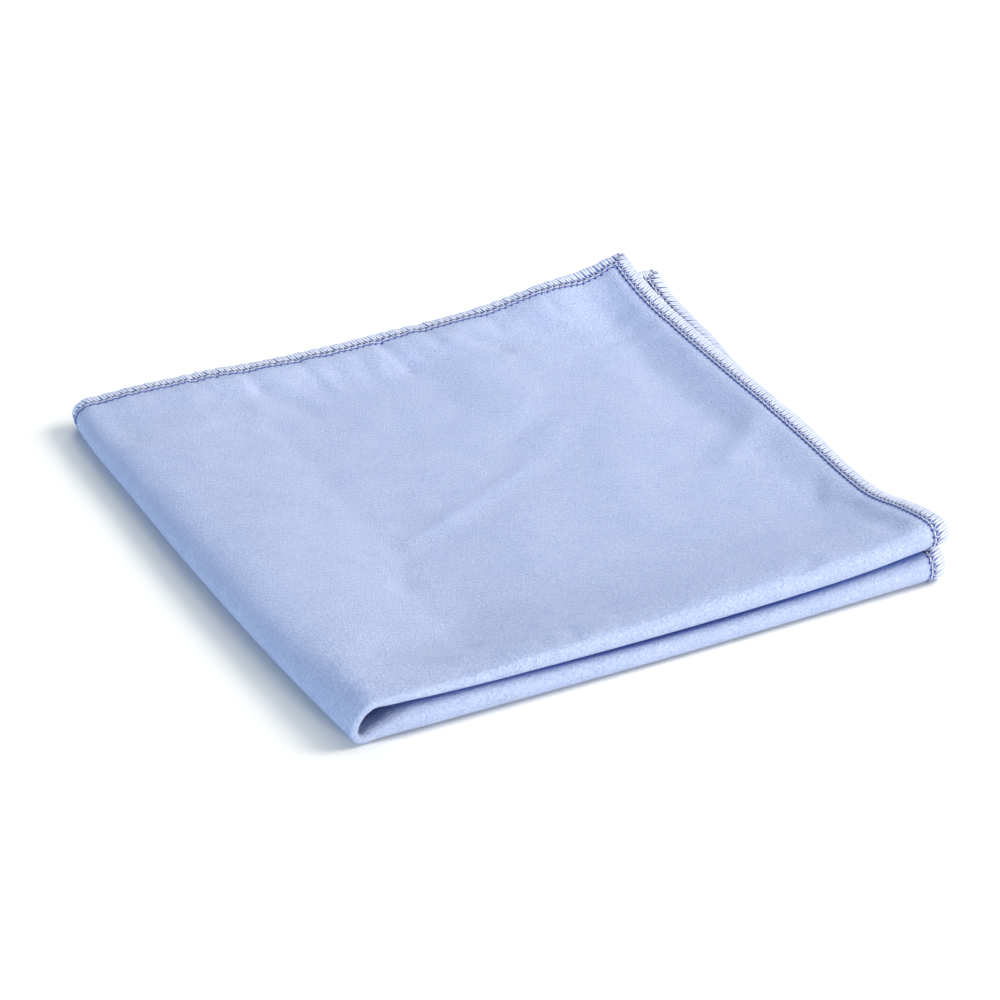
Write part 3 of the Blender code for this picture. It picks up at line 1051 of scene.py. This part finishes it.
# Round soft lights, in degrees, metres and watts.
AreaLight = namedtuple("AreaLight", "name azimuth elevation distance size power colour")
AREA_LIGHTS = (
    AreaLight("key_light", 74, 38, 1.6, 0.9, 29.5, (1.0, 0.97, 0.88)),
    AreaLight("top_light", 130, 76, 1.8, 1.6, 7.0, (0.92, 0.965, 1.0)),
    AreaLight("back_light", 153, 38, 1.8, 1.2, 10.5, (1.0, 0.98, 0.93)),
    AreaLight("front_light", 4, 9, 1.8, 0.5, 23.0, (1.0, 0.975, 0.91)),
    AreaLight("left_light", -88, 9, 1.8, 0.5, 17.0, (0.6, 0.8, 1.0)),
)
STUDIO_COLOUR = (0.8, 0.9, 1.0, 1.0)
STUDIO_STRENGTH = 0.22


def sight_direction(azimuth, elevation):
    """From the target towards a viewer. Azimuth 0 stands in front, on the -Y side."""
    round_target, up = math.radians(azimuth), math.radians(elevation)
    flat = math.cos(up)
    return Vector((math.sin(round_target) * flat, -math.cos(round_target) * flat, math.sin(up)))


def make_camera():
    """The photograph's view."""
    data = bpy.data.cameras.new("camera")
    data.lens = CAMERA_LENS
    data.clip_end = CAMERA_FAR_END
    camera = add_object("camera", data)
    back = sight_direction(CAMERA_AZIMUTH, CAMERA_ELEVATION)
    camera.location = Vector(CAMERA_TARGET) + back * CAMERA_DISTANCE
    camera.rotation_euler = back.to_track_quat("Z", "Y").to_euler()
    bpy.context.scene.camera = camera


def make_floor():
    """A plain pale floor, just under the cloth."""
    mesh = bpy.data.meshes.new("floor")
    shape = bmesh.new()
    bmesh.ops.create_grid(shape, x_segments=1, y_segments=1, size=FLOOR_SIZE / 2)
    shape.to_mesh(mesh)
    shape.free()
    floor = add_object("floor", mesh)
    floor.location.z = -FLOOR_DROP
    nodes = Nodes("pale_floor")
    nodes.shader.inputs["Base Color"].default_value = FLOOR_COLOUR
    nodes.shader.inputs["Roughness"].default_value = FLOOR_ROUGHNESS
    nodes.shader.inputs["Specular IOR Level"].default_value = FLOOR_SPECULAR
    mesh.materials.append(nodes.material)


def make_area_light(row):
    """One light of the table, turned to the cloth."""
    data = bpy.data.lights.new(row.name, "AREA")
    data.shape = "DISK"
    data.size = row.size
    data.energy = row.power
    data.color = row.colour
    light = add_object(row.name, data)
    towards = sight_direction(row.azimuth, row.elevation)
    light.location = towards * row.distance
    light.rotation_euler = towards.to_track_quat("Z", "Y").to_euler()


def make_studio():
    """Faint bluish light from all round."""
    world = bpy.data.worlds.new("studio")
    world.use_nodes = True
    background = world.node_tree.nodes["Background"]
    background.inputs["Color"].default_value = STUDIO_COLOUR
    background.inputs["Strength"].default_value = STUDIO_STRENGTH
    bpy.context.scene.world = world
    bpy.context.scene.view_settings.view_transform = "Standard"


def dress(piece, material):
    """Gives a piece of the cloth its material."""
    piece.data.materials.append(material)
    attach(piece, "root")


make_camera()
make_floor()
for light_row in AREA_LIGHTS:
    make_area_light(light_row)
make_studio()

cloth = make_sheet()
dress(cloth, cloth_material())
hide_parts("cloth")

thread = thread_material()
stitch_chance = np.random.default_rng(STITCH_SEED)
hems = [make_hem(hem, stitch_chance) for hem in HEMS]
for hem in hems:
    dress(hem, thread)
